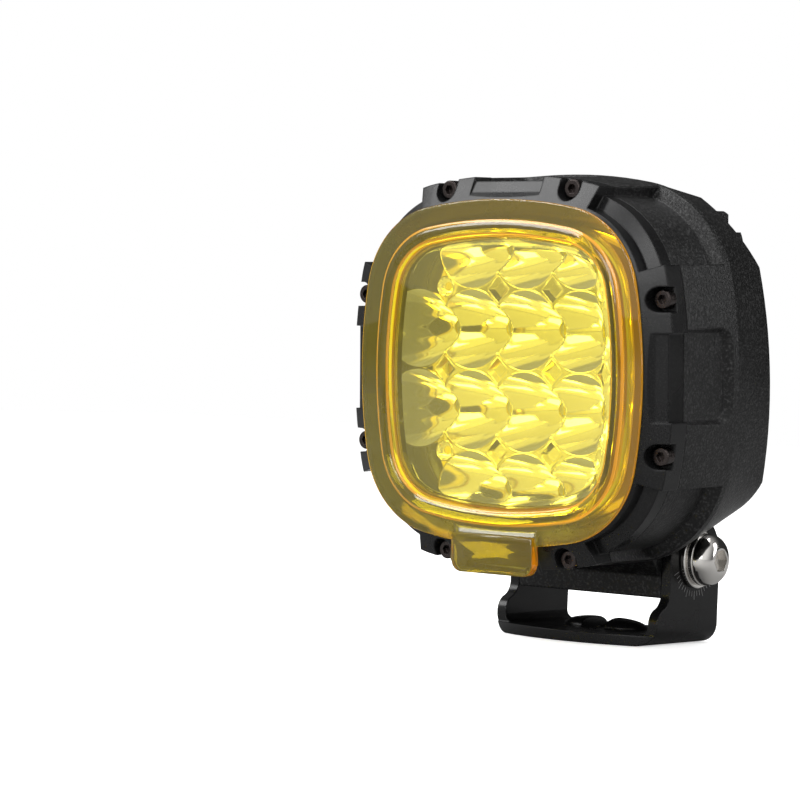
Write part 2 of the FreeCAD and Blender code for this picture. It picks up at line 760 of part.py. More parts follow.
def bezel():
    body = new_body("bezel")
    base = new_sketch(body, "bezel_base", offset="-Sizes.parting_depth")
    outline(base, "Sizes.bezel_inset")
    pad(body, "bezel_wall", base, "Sizes.parting_depth")
    edge = new_sketch(body, "bezel_edge")
    outline(edge, "Sizes.bezel_inset")
    ring = new_sketch(body, "bezel_ring", offset="Sizes.ring_height")
    outline(ring, "Sizes.ring_inset")
    loft(body, "bezel_slope", edge, ring)
    opening = new_sketch(body, "bezel_opening", offset="-Sizes.parting_depth")
    outline(opening, "Sizes.opening_inset")
    pocket(body, "bezel_opening_cut", opening, "Sizes.parting_depth + Sizes.ring_height")
    rebate = new_sketch(body, "lens_rebate", offset="-Sizes.parting_depth")
    outline(rebate, "Sizes.rebate_inset")
    pocket(body, "lens_rebate_cut", rebate, "Sizes.parting_depth - Sizes.rebate_depth")

    outside, back, above = "Sizes.cut_outside", "-Sizes.parting_depth - 1", "Sizes.ring_height + 2"
    floor = "Sizes.notch_floor"
    side_notch(body, "bezel_notch", [
        (f"{floor} - 7.7", above), (f"{floor} - 7.7", "5.3"), (f"{floor} - 5.0", "2.8"),
        (floor, "-0.2"), (floor, back), (outside, back), (outside, above),
    ])
    wall = "(Sizes.corner_radius - Sizes.ledge_inset)"
    lip = "(Sizes.corner_radius - Sizes.corner_inset)"
    corner_groove(body, "bezel_corner", [
        (wall, above), (wall, "-Sizes.ledge_inner_depth"), (lip, "-Sizes.ledge_outer_depth"),
        (lip, back), (f"{lip} + 30", back), (f"{lip} + 30", above),
    ])

    near, far, radius = "Sizes.screw_near", "Sizes.screw_far", "Sizes.screw_pocket_radius"
    recess = new_sketch(body, "screw_recess", offset="-Sizes.screw_head_height")
    for side in ("1", "-1"):
        left, right = f"{side} * {near} - {radius}", f"{side} * {near} + {radius}"
        lowest = (f"{side} * {near}", f"{far} - {radius}", radius)
        profile(recess, [
            (left, outside), (left, far, radius), lowest, (right, far), (right, outside),
        ])
    cut = pocket(body, "screw_recess_cut", recess, "Sizes.screw_head_height + 12")
    four_sides(body, "screw_recesses", cut)
    drill(body, "bezel_holes", screw_places(), "Sizes.screw_clear_radius", "0",
          "Sizes.parting_depth + 1")
    return body


def amber_cover():
    body = new_body("amber_cover")
    back, thickness = "Sizes.cover_back", "Sizes.cover_thickness"
    sheet_outline = new_sketch(body, "cover_sheet", offset=back)
    outline(sheet_outline, "Sizes.cover_inset")
    pad(body, "cover_sheet_pad", sheet_outline, thickness)
    ridge = new_sketch(body, "cover_ridge", offset=f"{back} + {thickness}")
    outline(ridge, "Sizes.ridge_outer_inset")
    outline(ridge, "Sizes.ridge_inner_inset")
    pad(body, "cover_ridge_pad", ridge, "Sizes.ridge_height")
    skirt = new_sketch(body, "cover_skirt", offset=back)
    outline(skirt, "Sizes.skirt_outer_inset")
    outline(skirt, "Sizes.skirt_inner_inset")
    pad(body, "cover_skirt_pad", skirt, f"{back} - Sizes.skirt_bottom", "back")
    clips = new_sketch(body, "cover_clips", offset="Sizes.skirt_bottom")
    half = "Sizes.clip_half"
    near, far = "Sizes.body_half - Sizes.skirt_inner_inset", "Sizes.body_half - Sizes.skirt_outer_inset"
    rectangle(clips, f"-{half}", f"{near} + 0.2", half, f"{far} - 0.3")
    rectangle(clips, f"-{half}", f"-({far}) + 0.3", half, f"-({near}) - 0.2")
    pad(body, "cover_clip_pad", clips, "Sizes.clip_reach", "back")

    tab = new_sketch(body, "pull_tab", offset="Sizes.tab_back")
    half, top, low = "Sizes.tab_half", "-Sizes.tab_top", "-Sizes.tab_bottom"
    corner = "Sizes.tab_corner"
    profile(tab, [
        (f"-{half}", top), (f"-{half}", f"{low} + {corner}", corner),
        (f"-{half} + {corner}", low), (f"{half} - {corner}", low, corner),
        (half, f"{low} + {corner}"), (half, top),
    ])
    pad(body, "pull_tab_pad", tab, "Sizes.tab_front - Sizes.tab_back")
    hollow = new_sketch(body, "pull_tab_hollow", offset="Sizes.tab_back")
    wall = "Sizes.tab_wall"
    rectangle(hollow, f"-{half} + {wall}", f"{low} + {wall}", f"{half} - {wall}",
              "-Sizes.body_half + Sizes.cover_inset - 0.5")
    pocket(body, "pull_tab_hollow_cut", hollow, f"Sizes.tab_front - Sizes.tab_back - {wall}")
    return body


def body_gasket():
    return outline_plate(
        "body_gasket", "Sizes.seal_outer_inset", "-Sizes.parting_depth - Sizes.seal_depth",
        "Sizes.seal_depth", hole="Sizes.cavity_inset",
    )


def lens():
    back = "-Sizes.lens_front_depth - Sizes.lens_thickness"
    return outline_plate("lens", "Sizes.lens_inset", back, "Sizes.lens_thickness")


def lens_seal():
    return outline_plate(
        "lens_seal", "Sizes.lens_inset", "-Sizes.lens_front_depth",
        "Sizes.lens_front_depth - Sizes.rebate_depth", hole="Sizes.lens_seal_inner_inset",
    )


# ---------------------------------------------------------------- reflectors and light source

def bowl(radius, focus, rim_depth, hole_radius):
    """A solid paraboloid about Z, from its hole at the back to its rim in front."""
    steps = 8
    radii = [hole_radius + (radius - hole_radius) * i / steps for i in range(steps + 1)]
    apex = -rim_depth - radius**2 / (4 * focus)
    points = [V(r, 0, apex + r**2 / (4 * focus)) for r in radii]
    curve = Part.BSplineCurve()
    curve.interpolate(points)
    back, front = points[0], points[-1]
    edges = [
        curve.toShape(),
        Part.makeLine(front, V(0, 0, front.z)),
        Part.makeLine(V(0, 0, front.z), V(0, 0, back.z)),
        Part.makeLine(V(0, 0, back.z), back),
    ]
    return Part.Face(Part.Wire(edges)).revolve(V(), V(0, 0, 1), 360)


def reflector_array():
    """A thin metallised moulding: a face plate with sixteen overlapping parabolic cups."""
    rim, radius, focus = (number(f"Sizes.{a}") for a in ("rim_depth", "cup_radius", "cup_focus"))
    hole, wall = number("Sizes.cup_hole_radius"), number("Sizes.cup_wall")
    plate, boss = number("Sizes.plate_thickness"), number("Sizes.boss_radius")
    blank = outline_plate("reflector_blank", "Sizes.reflector_inset",
                          "-Sizes.rim_depth - Sizes.plate_thickness", "Sizes.plate_thickness")
    envelope = outline_plate("reflector_envelope", "Sizes.reflector_inset",
                             "-Sizes.board_depth", "Sizes.board_depth")
    doc.recompute()
    inner_depth = (radius**2 - hole**2) / (4 * focus)
    outer = bowl(radius + wall, focus, rim, hole + wall)
    shells, hollows = [], []
    for x, y in cup_centres():
        shell, hollow = outer.copy(), bowl(radius, focus, rim, hole)
        shell.translate(V(x, y, 0))
        hollow.translate(V(x, y, 0))
        throat = Part.makeCylinder(hole, 8, V(x, y, -rim - inner_depth - 7.9))
        shells.append(shell)
        hollows.extend([hollow, throat])
    for x, y, _ in boss_places(0):
        depth = number("Sizes.boss_depth")
        shells.append(Part.makeCylinder(boss, depth - rim, V(x, y, -depth)))
        hollows.append(Part.makeCylinder(3.4, depth - rim - 2, V(x, y, -depth + 2)))
        hollows.append(Part.makeCylinder(1.7, depth, V(x, y, -depth - 1)))
    half, sunk = number("Sizes.diamond_half"), number("Sizes.diamond_depth")
    for x, y in star_centres():
        diamond = Part.makeBox(2 * half, 2 * half, 2 * sunk, V(-half, -half, -rim - sunk))
        diamond.rotate(V(), V(0, 0, 1), 45)
        diamond.translate(V(x, y, 0))
        hollows.append(diamond)
    shape = blank.Shape.multiFuse(shells).common(envelope.Shape).cut(hollows)
    shape = max(shape.Solids, key=lambda solid: solid.Volume)
    for helper in (blank, envelope):
        helper.removeObjectsFromDocument()
        doc.removeObject(helper.Name)
    node = doc.addObject("Part::Feature", "reflector_array")
    node.Label = "reflector_array"
    node.Shape = shape
    return node


def led_board():
    body = outline_plate("led_board", "Sizes.board_inset",
                         "-Sizes.board_depth - Sizes.board_thickness", "Sizes.board_thickness")
    drill(body, "board_post_holes", boss_places(0), "Sizes.post_radius + 0.3",
          "Sizes.board_depth", "Sizes.board_thickness + 1")
    drill(body, "board_screw_holes", board_screw_places(0), "Sizes.small_screw_radius + 0.2",
          "Sizes.board_depth", "Sizes.board_thickness + 1")
    return body


def thermal_pad():
    depth = "Sizes.board_depth + Sizes.board_thickness"
    body = outline_plate("thermal_pad", "Sizes.board_inset",
                         f"-({depth}) - Sizes.pad_thickness", "Sizes.pad_thickness")
    drill(body, "pad_post_holes", boss_places(0), "Sizes.post_radius + 0.3", depth, "2")
    drill(body, "pad_screw_holes", board_screw_places(0), "Sizes.small_screw_radius + 0.2",
          depth, "2")
    drill(body, "pad_wire_hole", [(0, 0, 0)], "Sizes.wire_hole_radius", depth, "2")
    return body


def led_emitters():
    width, thickness = "Sizes.emitter_width", "Sizes.emitter_thickness"
    template = new_body("emitter")
    base = new_sketch(template, "emitter_base")
    rectangle(base, f"-{width} / 2", f"-{width} / 2", f"{width} / 2", f"{width} / 2")
    pad(template, "emitter_pad", base, thickness)
    dome = new_sketch(template, "emitter_dome_profile", "XZ_Plane")
    radius = "Sizes.emitter_dome"
    profile(dome, [("0", "0"), (radius, "0"), (radius, thickness, radius),
                   ("0", f"{thickness} + {radius}")])
    revolve(template, "emitter_dome_turned", dome)
    board = -number("Sizes.board_depth")
    return group("led_emitters", template, [(x, y, board) for x, y in cup_centres()])


# ---------------------------------------------------------------- fasteners

def socket_screw(label, head_radius, head_height, radius, length, flats, hex_depth):
    """A cylinder-head screw along Z with the top of its head at Z = 0 and a hexagon socket."""
    body = turned(label, [
        ("0", "0"), (f"{head_radius} - 0.5", "0"), (head_radius, "-0.5"),
        (head_radius, f"-({head_height})"), (radius, f"-({head_height})"),
        (radius, f"-({head_height}) - ({length})"), ("0", f"-({head_height}) - ({length})"),
    ])
    socket = new_sketch(body, label + "_socket", offset=f"-({hex_depth})")
    hexagon(socket, flats)
    pocket(body, label + "_socket_cut", socket, f"{hex_depth} + 1")
    return body


def bezel_screws():
    template = socket_screw("bezel_screw", "Sizes.screw_head_radius", "Sizes.screw_head_height",
                            "Sizes.screw_radius", "Sizes.screw_length", "Sizes.screw_hex",
                            "Sizes.screw_hex_depth")
    return group("bezel_screws", template, screw_places())


def small_screws(label, places, length, radius="Sizes.small_screw_radius"):
    template = socket_screw(label + "_template", "Sizes.small_head_radius",
                            "Sizes.small_head_height", radius, length, "2", "1.1")
    return group(label, template, places)


def rear_cover_screws():
    template = socket_screw("rear_screw", "3.3", "3.2", "1.65", "11", "2.5", "1.8")
    doc.recompute()
    plate_back = number("Sizes.rear_depth + Sizes.rear_seal + Sizes.sink_plate")
    flipped = template.Shape.copy()
    flipped.rotate(V(), V(0, 1, 0), 180)
    copies = []
    for x, y, _ in sink_screw_places(0):
        copy = flipped.copy()
        copy.translate(V(x, y, -plate_back - 3.2))
        copies.append(copy)
    node = doc.addObject("Part::Feature", "rear_cover_screws")
    node.Label = "rear_cover_screws"
    node.Shape = Part.makeCompound(copies)
    return node


def pivot_hardware(side, turn):
    """A dome-headed bolt with its spring and flat washers, outside one bracket arm."""
    face = "(Sizes.arm_outer + Sizes.washer_gap)"
    washer_top = f"({face} + Sizes.washer_thickness)"
    spring_top = f"({washer_top} + Sizes.spring_thickness)"
    bore = "(Sizes.bolt_radius + 0.2)"
    flat = turned("flat_washer_" + side, [
        (bore, face), ("Sizes.washer_radius - 0.4", face), ("Sizes.washer_radius", f"{face} + 0.4"),
        ("Sizes.washer_radius", f"{washer_top} - 0.4"), ("Sizes.washer_radius - 0.4", washer_top),
        (bore, washer_top),
    ])
    spring = turned("spring_washer_" + side, [
        (bore, washer_top), ("Sizes.spring_radius - 0.3", washer_top),
        ("Sizes.spring_radius", f"{washer_top} + 0.3"),
        ("Sizes.spring_radius", f"{spring_top} - 0.3"),
        ("Sizes.spring_radius - 0.3", spring_top), (bore, spring_top),
    ])
    gap = new_sketch(spring, "split_" + side, offset=washer_top)
    rectangle(gap, bore + " - 1", "-0.6", "Sizes.spring_radius + 1", "0.6")
    pocket(spring, "split_cut_" + side, gap, "Sizes.spring_thickness")

    head, crown = "Sizes.bolt_head_radius", "Sizes.bolt_crown_radius"
    edge, top = f"({spring_top} + Sizes.bolt_head_edge)", f"({spring_top} + Sizes.bolt_head_height)"
    rise = "(Sizes.bolt_head_height - Sizes.bolt_head_edge)"
    run = f"({head} - {crown})"
    dome = f"({run}^2 + {rise}^2) / (2 * {run}) * 1.02"
    bolt = turned("pivot_bolt_" + side, [
        ("0", "Sizes.bolt_tip"), ("Sizes.bolt_radius - 1", "Sizes.bolt_tip"),
        ("Sizes.bolt_radius", "Sizes.bolt_tip + 1"), ("Sizes.bolt_radius", spring_top),
        (f"{head} - 0.4", spring_top), (head, f"{spring_top} + 0.4"), (head, edge, dome),
        (crown, top), ("0", top),
    ])
    socket = new_sketch(bolt, "pivot_socket_" + side, offset=f"{top} - Sizes.bolt_hex_depth")
    hexagon(socket, "Sizes.bolt_hex")
    pocket(bolt, "pivot_socket_cut_" + side, socket, "Sizes.bolt_hex_depth + 1")
    place = LAMP_PLACEMENT * FreeCAD.Placement(
        V(0, -number("Sizes.pivot_drop"), -number("Sizes.pivot_depth")),
        FreeCAD.Rotation(V(0, 1, 0), turn),
    )
    return [(part, place) for part in (flat, spring, bolt)]


# ---------------------------------------------------------------- driver, gland and vent

def driver_board():
    body = new_body("driver_board")
    back = "Sizes.driver_floor_depth + Sizes.standoff_height + Sizes.board_thickness"
    board = new_sketch(body, "driver_board_outline", offset=f"-({back})")
    rounded_rectangle(board, "Sizes.driver_board_half", "-Sizes.driver_low + 6",
                      "Sizes.driver_high - 6", "3")
    for x, y, _ in standoff_places(0):
        circle(board, str(x), str(y), "Sizes.small_screw_radius")
    pad(body, "driver_board_pad", board, "Sizes.board_thickness")
    return body


def driver_components():
    """Inductor, capacitors and a terminal block on the back of the driver board."""
    face = -number("Sizes.driver_floor_depth + Sizes.standoff_height + Sizes.board_thickness")
    inductor = Part.makeCylinder(11, 10, V(-12, 30, face - 10)).cut(
        Part.makeCylinder(4.5, 12, V(-12, 30, face - 11))
    )
    capacitors = [Part.makeCylinder(5, 12, V(14, y, face - 12)) for y in (18, 31, 44)]
    regulator = Part.makeBox(16, 12, 4, V(-24, 2, face - 4))
    terminal = Part.makeBox(14, 9, 10, V(-7, -22, face - 10))
    node = doc.addObject("Part::Feature", "driver_components")
    node.Label = "driver_components"
    node.Shape = Part.makeCompound([inductor, *capacitors, regulator, terminal])
    return node


def driver_standoffs():
    body = new_body("standoff")
    base = new_sketch(body, "standoff_ring")
    hexagon(base, "5.5")
    circle(base, "0", "0", "Sizes.small_screw_radius")
    pad(body, "standoff_pad", base, "Sizes.standoff_height", "back")
    floor = -number("Sizes.driver_floor_depth")
    return group("driver_standoffs", body, standoff_places(floor))


def driver_screws():
    template = socket_screw("driver_screw", "Sizes.small_head_radius", "Sizes.small_head_height",
                            "Sizes.small_screw_radius", "10", "2", "1.1")
    doc.recompute()
    back = number("Sizes.driver_floor_depth + Sizes.standoff_height + Sizes.board_thickness")
    flipped = template.Shape.copy()
    flipped.rotate(V(), V(0, 1, 0), 180)
    copies = []
    for x, y, _ in standoff_places(0):
        copy = flipped.copy()
        copy.translate(V(x, y, -back - number("Sizes.small_head_height")))
        copies.append(copy)
    node = doc.addObject("Part::Feature", "driver_screws")
    node.Label = "driver_screws"
    node.Shape = Part.makeCompound(copies)
    return node


def board_connector():
    """The plug between the driver board and the back of the light board."""
    front = "-Sizes.board_depth - Sizes.board_thickness"
    back = "-Sizes.driver_floor_depth - Sizes.standoff_height"
    radius = "Sizes.wire_hole_radius - 0.4"
    return turned("board_connector", [("0", back), (radius, back), (radius, front), ("0", front)])


def gland_parts():
    """Cable gland behind the driver compartment: body, sealing ring and clamping nut."""
    plate = "(Sizes.rear_depth + Sizes.rear_seal + Sizes.sink_plate)"
    bore, thread = "Sizes.gland_bore", "Sizes.gland_thread"
    inner_end = f"-({plate} - Sizes.sink_plate)"
    flange, neck_end = f"-({plate} + 4)", f"-({plate} + 11)"
    seat = f"-({plate} + 7)"
    gland = turned("gland_body", [
        (bore, inner_end), (thread, inner_end), (thread, f"-{plate}"), ("9", f"-{plate}"),
        ("9", flange), ("6.5", flange), ("6.5", neck_end), ("5.2", neck_end), ("5.2", seat),
        (bore, seat),
    ])
    seal_end = f"-({plate} + 12)"
    seal = turned("gland_seal", [
        (bore, seat), ("5.2", seat), ("5.2", seal_end), (bore, seal_end),
    ])
    nut_start, lip, nut_end = f"-({plate} + 4.4)", f"-({plate} + 12.2)", f"-({plate} + 16)"
    nut = turned("gland_nut", [
        ("6.5", nut_start), ("8.6", nut_start), ("8.6", lip), ("6.4", nut_end), ("4.2", nut_end),
        ("4.2", lip), ("5.4", lip), ("5.4", neck_end), ("6.5", neck_end),
    ])
    return [gland, seal, nut]


def pressure_vent():
    plate = "(Sizes.rear_depth + Sizes.rear_seal + Sizes.sink_plate)"
    radius = "Sizes.vent_radius"
    return turned("pressure_vent", [
        ("0", f"-{plate} + 3"), ("2.5", f"-{plate} + 3"), ("2.5", f"-{plate}"),
        (radius, f"-{plate}"), (radius, f"-({plate} + 2.2)"),
        (f"{radius} - 1.2", f"-({plate} + 3.4)"), ("0", f"-({plate} + 3.4)"),
    ])


# ---------------------------------------------------------------- the whole light

def lamp_parts():
    """Every part in the lamp frame, each with the shift inside that frame that it still needs."""
    no_shift = V()
    below = V(0, -number("Sizes.gland_drop"), 0)
    vent_place = V(0, -number("Sizes.vent_drop"), 0)
    board_front = -number("Sizes.board_depth") + number("Sizes.small_head_height")
    boss_head = -number("Sizes.boss_depth") + 2 + number("Sizes.small_head_height")
    plain = [
        housing(), rear_heatsink(), rear_seal(), bezel(), body_gasket(), lens(), lens_seal(),
        amber_cover(), reflector_array(), led_board(), thermal_pad(), led_emitters(),
        bezel_screws(), rear_cover_screws(), driver_board(), driver_components(),
        driver_standoffs(), driver_screws(), board_connector(),
        small_screws("led_board_screws", board_screw_places(board_front), "7"),
        small_screws("reflector_screws", boss_places(boss_head), "12"),
    ]
    parts = [(part, no_shift) for part in plain]
    parts += [(part, below) for part in gland_parts()]
    parts.append((pressure_vent(), vent_place))
    return parts


def build():
    placed = [(mounting_bracket(), ROW_PLACEMENT)]
    for part, shift in lamp_parts():
        place = FreeCAD.Placement(shift, FreeCAD.Rotation())
        placed.append((part, LAMP_PLACEMENT * place))
    placed += pivot_hardware("right", 90)
    placed += pivot_hardware("left", -90)
    for part, place in placed:
        part.Placement = place
    doc.recompute()
    return [part for part, _ in placed]


def check(parts):
    for item in doc.Objects:
        if "Invalid" in item.State or "Error" in item.State:
            raise RuntimeError(f"{item.Label} did not recompute: {item.State}")
    for part in parts:
        if part.Shape.isNull() or not part.Shape.isValid():
            raise RuntimeError(f"{part.Label} has no valid shape")


def export(parts):
    os.makedirs("parts", exist_ok=True)
    for part in parts:
        part.Shape.exportStep(f"parts/{part.Label}.step")
        print(f"{part.Label}: {len(part.Shape.Solids)} solids, {part.Shape.Volume:.0f} mm3")


nodes = build()
check(nodes)
export(nodes)
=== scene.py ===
"""Looks for the fog light: materials, a detailed reflector, a moulded cover and angle marks."""
import json
import math

import bmesh
import bpy
from mathutils import Matrix, Vector
from mathutils.geometry import delaunay_2d_cdt


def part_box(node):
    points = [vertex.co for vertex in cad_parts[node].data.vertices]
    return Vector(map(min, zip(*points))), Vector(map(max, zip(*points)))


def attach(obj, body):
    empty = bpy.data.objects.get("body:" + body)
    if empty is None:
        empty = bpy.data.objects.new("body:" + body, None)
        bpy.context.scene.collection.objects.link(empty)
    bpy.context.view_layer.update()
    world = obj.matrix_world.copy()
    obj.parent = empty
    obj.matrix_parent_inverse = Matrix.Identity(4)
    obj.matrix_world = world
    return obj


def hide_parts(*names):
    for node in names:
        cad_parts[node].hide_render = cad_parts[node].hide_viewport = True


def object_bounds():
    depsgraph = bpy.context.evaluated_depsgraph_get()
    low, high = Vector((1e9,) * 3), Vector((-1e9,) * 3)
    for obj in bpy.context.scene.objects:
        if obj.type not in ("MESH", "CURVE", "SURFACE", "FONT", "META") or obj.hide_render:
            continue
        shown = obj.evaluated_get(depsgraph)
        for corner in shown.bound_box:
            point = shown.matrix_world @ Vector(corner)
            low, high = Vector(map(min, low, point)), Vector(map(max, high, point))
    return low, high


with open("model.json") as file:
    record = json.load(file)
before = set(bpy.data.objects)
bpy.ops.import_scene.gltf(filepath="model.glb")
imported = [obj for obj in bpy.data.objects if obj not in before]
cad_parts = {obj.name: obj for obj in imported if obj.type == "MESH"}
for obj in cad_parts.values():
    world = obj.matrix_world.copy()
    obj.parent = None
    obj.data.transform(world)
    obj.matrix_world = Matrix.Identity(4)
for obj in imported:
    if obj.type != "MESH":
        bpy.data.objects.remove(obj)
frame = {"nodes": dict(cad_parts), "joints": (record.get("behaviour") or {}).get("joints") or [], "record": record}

CAD_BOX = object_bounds()
MM = 0.001

# ---------------------------------------------------------------- lamp frame
# X right, Y up and Z out of the light's face, in millimetres, with Z = 0 at the screw tops.

JOINTS = {joint["name"]: joint for joint in frame["joints"]}
PIVOT = Vector(JOINTS["lamp_tilt"]["pos_m"])
FORWARD = Vector(JOINTS["cover_pull"]["axis"]).normalized()
ACROSS = Vector((1, 0, 0))
UPWARD = FORWARD.cross(ACROSS)
PIVOT_DROP, PIVOT_DEPTH = 88.0, 87.0
LAMP_ORIGIN = PIVOT + (UPWARD * PIVOT_DROP + FORWARD * PIVOT_DEPTH) * MM
LAMP = Matrix.Translation(LAMP_ORIGIN) @ Matrix((ACROSS, UPWARD, FORWARD)).transposed().to_4x4()
LAMP = LAMP @ Matrix.Scale(MM, 4)

BODY_HALF, SIDE_RADIUS, CORNER_RADIUS, CORNER_CENTRE = 90.3, 237.6, 54.2, 33.08


def outline(inset, steps_side, steps_corner):
    """Points of the body's outline moved inwards: four bowed sides and four round corners."""
    reach = SIDE_RADIUS - BODY_HALF
    half_angle = math.atan2(CORNER_CENTRE, CORNER_CENTRE + reach)
    points = []

    def add(centre, radius, angle):
        points.append(centre + (radius - inset) * Vector((math.cos(angle), math.sin(angle))))

    for quarter in range(4):
        base = quarter * math.pi / 2
        turn = Matrix.Rotation(base, 2)
        centre = turn @ Vector((-reach, 0))
        for i in range(steps_side):
            add(centre, SIDE_RADIUS, base + half_angle * (2 * i / steps_side - 1))
        centre = turn @ Vector((CORNER_CENTRE, CORNER_CENTRE))
        span = math.pi / 2 - 2 * half_angle
        for i in range(steps_corner):
            add(centre, CORNER_RADIUS, base + half_angle + span * i / steps_corner)
    return points


def inside_outline(x, y, inset):
    """Whether a point lies within the outline at this inset."""
    reach = SIDE_RADIUS - BODY_HALF
    x, y = abs(x), abs(y)
    if x < y:
        x, y = y, x
    half_angle = math.atan2(CORNER_CENTRE, CORNER_CENTRE + reach)
    if math.atan2(y, x + reach) <= half_angle:
        return math.hypot(x + reach, y) <= SIDE_RADIUS - inset
    return math.hypot(x - CORNER_CENTRE, y - CORNER_CENTRE) <= CORNER_RADIUS - inset


# ---------------------------------------------------------------- materials

def new_material(name):
    material = bpy.data.materials.new(name)
    material.use_nodes = True
    tree = material.node_tree
    shader = tree.nodes["Principled BSDF"]
    return material, tree, shader


def node(tree, kind, **inputs):
    made = tree.nodes.new(kind)
    for name, value in inputs.items():
        made.inputs[name.replace("_", " ")].default_value = value
    return made


def object_coordinates(tree):
    return tree.nodes.new("ShaderNodeTexCoord").outputs["Object"]


def noise(tree, scale, detail=2.0, roughness=0.5):
    made = node(tree, "ShaderNodeTexNoise", Scale=scale, Detail=detail, Roughness=roughness)
    tree.links.new(object_coordinates(tree), made.inputs["Vector"])
    return made


def map_range(tree, value, low, high, from_low=0.3, from_high=0.7):
    made = tree.nodes.new("ShaderNodeMapRange")
    made.inputs["From Min"].default_value = from_low
    made.inputs["From Max"].default_value = from_high
    made.inputs["To Min"].default_value = low
    made.inputs["To Max"].default_value = high
    tree.links.new(value, made.inputs["Value"])
    return made.outputs["Result"]


def rounded_bump(tree, shader, height, strength, distance, radius):
    """Surface grain on top of slightly rounded edges."""
    edge = tree.nodes.new("ShaderNodeBevel")
    edge.samples = 6
    edge.inputs["Radius"].default_value = radius
    bump = node(tree, "ShaderNodeBump", Strength=strength, Distance=distance)
    tree.links.new(height, bump.inputs["Height"])
    tree.links.new(edge.outputs["Normal"], bump.inputs["Normal"])
    tree.links.new(bump.outputs["Normal"], shader.inputs["Normal"])


def coated_black(name, base, painted_glint_colour, roughness, grain_scale, strength, distance, radius):
    """Black coating with its own grain size, lighter flecks painted into its colour as glints of light, gloss
    variation and rounded edges.
    """
    material, tree, shader = new_material(name)
    grain = noise(tree, grain_scale, 3.0, 0.6)
    cloud = noise(tree, 35.0, 3.0)
    tint = tree.nodes.new("ShaderNodeMix")
    tint.data_type = "RGBA"
    tint.inputs["A"].default_value = (*base, 1)
    tint.inputs["B"].default_value = (*painted_glint_colour, 1)
    # painted glints: lighter flecks in the colour where the grain rises, standing in for glints of light on the
    # coat; the bump below gives the real ones
    painted_glint_mask = map_range(tree, grain.outputs["Fac"], 0.0, 1.0, 0.5, 0.68)
    tree.links.new(painted_glint_mask, tint.inputs["Factor"])
    shader.inputs["Specular IOR Level"].default_value = 0.22
    tree.links.new(tint.outputs["Result"], shader.inputs["Base Color"])
    rough = map_range(tree, cloud.outputs["Fac"], *roughness)
    tree.links.new(rough, shader.inputs["Roughness"])
    rounded_bump(tree, shader, grain.outputs["Fac"], strength, distance, radius)
    return material


def metal(name, base, roughness, scale=220.0, radius=0.3 * MM, glow=0.0):
    material, tree, shader = new_material(name)
    # glow is painted light: a white emission added to the surface, though the part is no lamp
    shader.inputs["Emission Color"].default_value = (1, 1, 1, 1)
    shader.inputs["Emission Strength"].default_value = glow
    shader.inputs["Metallic"].default_value = 1.0
    shader.inputs["Base Color"].default_value = (*base, 1)
    scratches = noise(tree, scale, 4.0, 0.65)
    rough = map_range(tree, scratches.outputs["Fac"], *roughness)
    tree.links.new(rough, shader.inputs["Roughness"])
    rounded_bump(tree, shader, scratches.outputs["Fac"], 0.06, 0.02 * MM, radius)
    return material


def plain(name, base, roughness):
    material, tree, shader = new_material(name)
    speck = noise(tree, 300.0, 2.0)
    tint = tree.nodes.new("ShaderNodeMix")
    tint.data_type = "RGBA"
    tint.inputs["A"].default_value = (*[c * 0.85 for c in base], 1)
    tint.inputs["B"].default_value = (*[min(c * 1.1, 1.0) for c in base], 1)
    tree.links.new(speck.outputs["Fac"], tint.inputs["Factor"])
    tree.links.new(tint.outputs["Result"], shader.inputs["Base Color"])
    shader.inputs["Roughness"].default_value = roughness
    rounded_bump(tree, shader, speck.outputs["Fac"], 0.15, 0.05 * MM, 0.3 * MM)
    return material


def amber_plastic(name, base, clearness, painted_glow_colour, glow):
    """Clear plastic that swallows blue quickly and green slowly, with a faint painted glow standing in for light
    carried inside it.
    """
    material, tree, shader = new_material(name)
    shader.inputs["Base Color"].default_value = (*base, 1)
    shader.inputs["Roughness"].default_value = 0.015
    shader.inputs["IOR"].default_value = 1.49
    shader.inputs["Transmission Weight"].default_value = clearness
    # painted glow: an emission that lights the plastic though it is no lamp
    shader.inputs["Emission Color"].default_value = (*painted_glow_colour, 1)
    shader.inputs["Emission Strength"].default_value = glow
    ripple = noise(tree, 14.0, 1.0)
    bump = node(tree, "ShaderNodeBump", Strength=0.05, Distance=0.2 * MM)
    tree.links.new(ripple.outputs["Fac"], bump.inputs["Height"])
    tree.links.new(bump.outputs["Normal"], shader.inputs["Normal"])
    absorb = tree.nodes.new("ShaderNodeVolumeAbsorption")
    absorb.inputs["Color"].default_value = (0.985, 0.93, 0.05, 1)
    absorb.inputs["Density"].default_value = 560.0
    output = tree.nodes["Material Output"]
    tree.links.new(absorb.outputs["Volume"], output.inputs["Volume"])
    return material


def clear_plastic():
    """A thin clear pane: see-through, and glossy only where a ray enters it."""
    material, tree, shader = new_material("clear_plastic")
    glass = tree.nodes.new("ShaderNodeBsdfTransparent")
    fresnel = node(tree, "ShaderNodeFresnel", IOR=1.4)
    mix = tree.nodes.new("ShaderNodeMixShader")
    gloss = node(tree, "ShaderNodeBsdfGlossy", Roughness=0.02)
    tree.nodes.remove(shader)
    side = tree.nodes.new("ShaderNodeNewGeometry")
    skin = tree.nodes.new("ShaderNodeMix")
    skin.data_type = "FLOAT"
    skin.inputs["B"].default_value = 0.0
    tree.links.new(side.outputs["Backfacing"], skin.inputs["Factor"])
    tree.links.new(fresnel.outputs["Fac"], skin.inputs["A"])
    tree.links.new(skin.outputs["Result"], mix.inputs["Fac"])
    tree.links.new(glass.outputs["BSDF"], mix.inputs[1])
    tree.links.new(gloss.outputs["BSDF"], mix.inputs[2])
    tree.links.new(mix.outputs["Shader"], tree.nodes["Material Output"].inputs["Surface"])
    return material


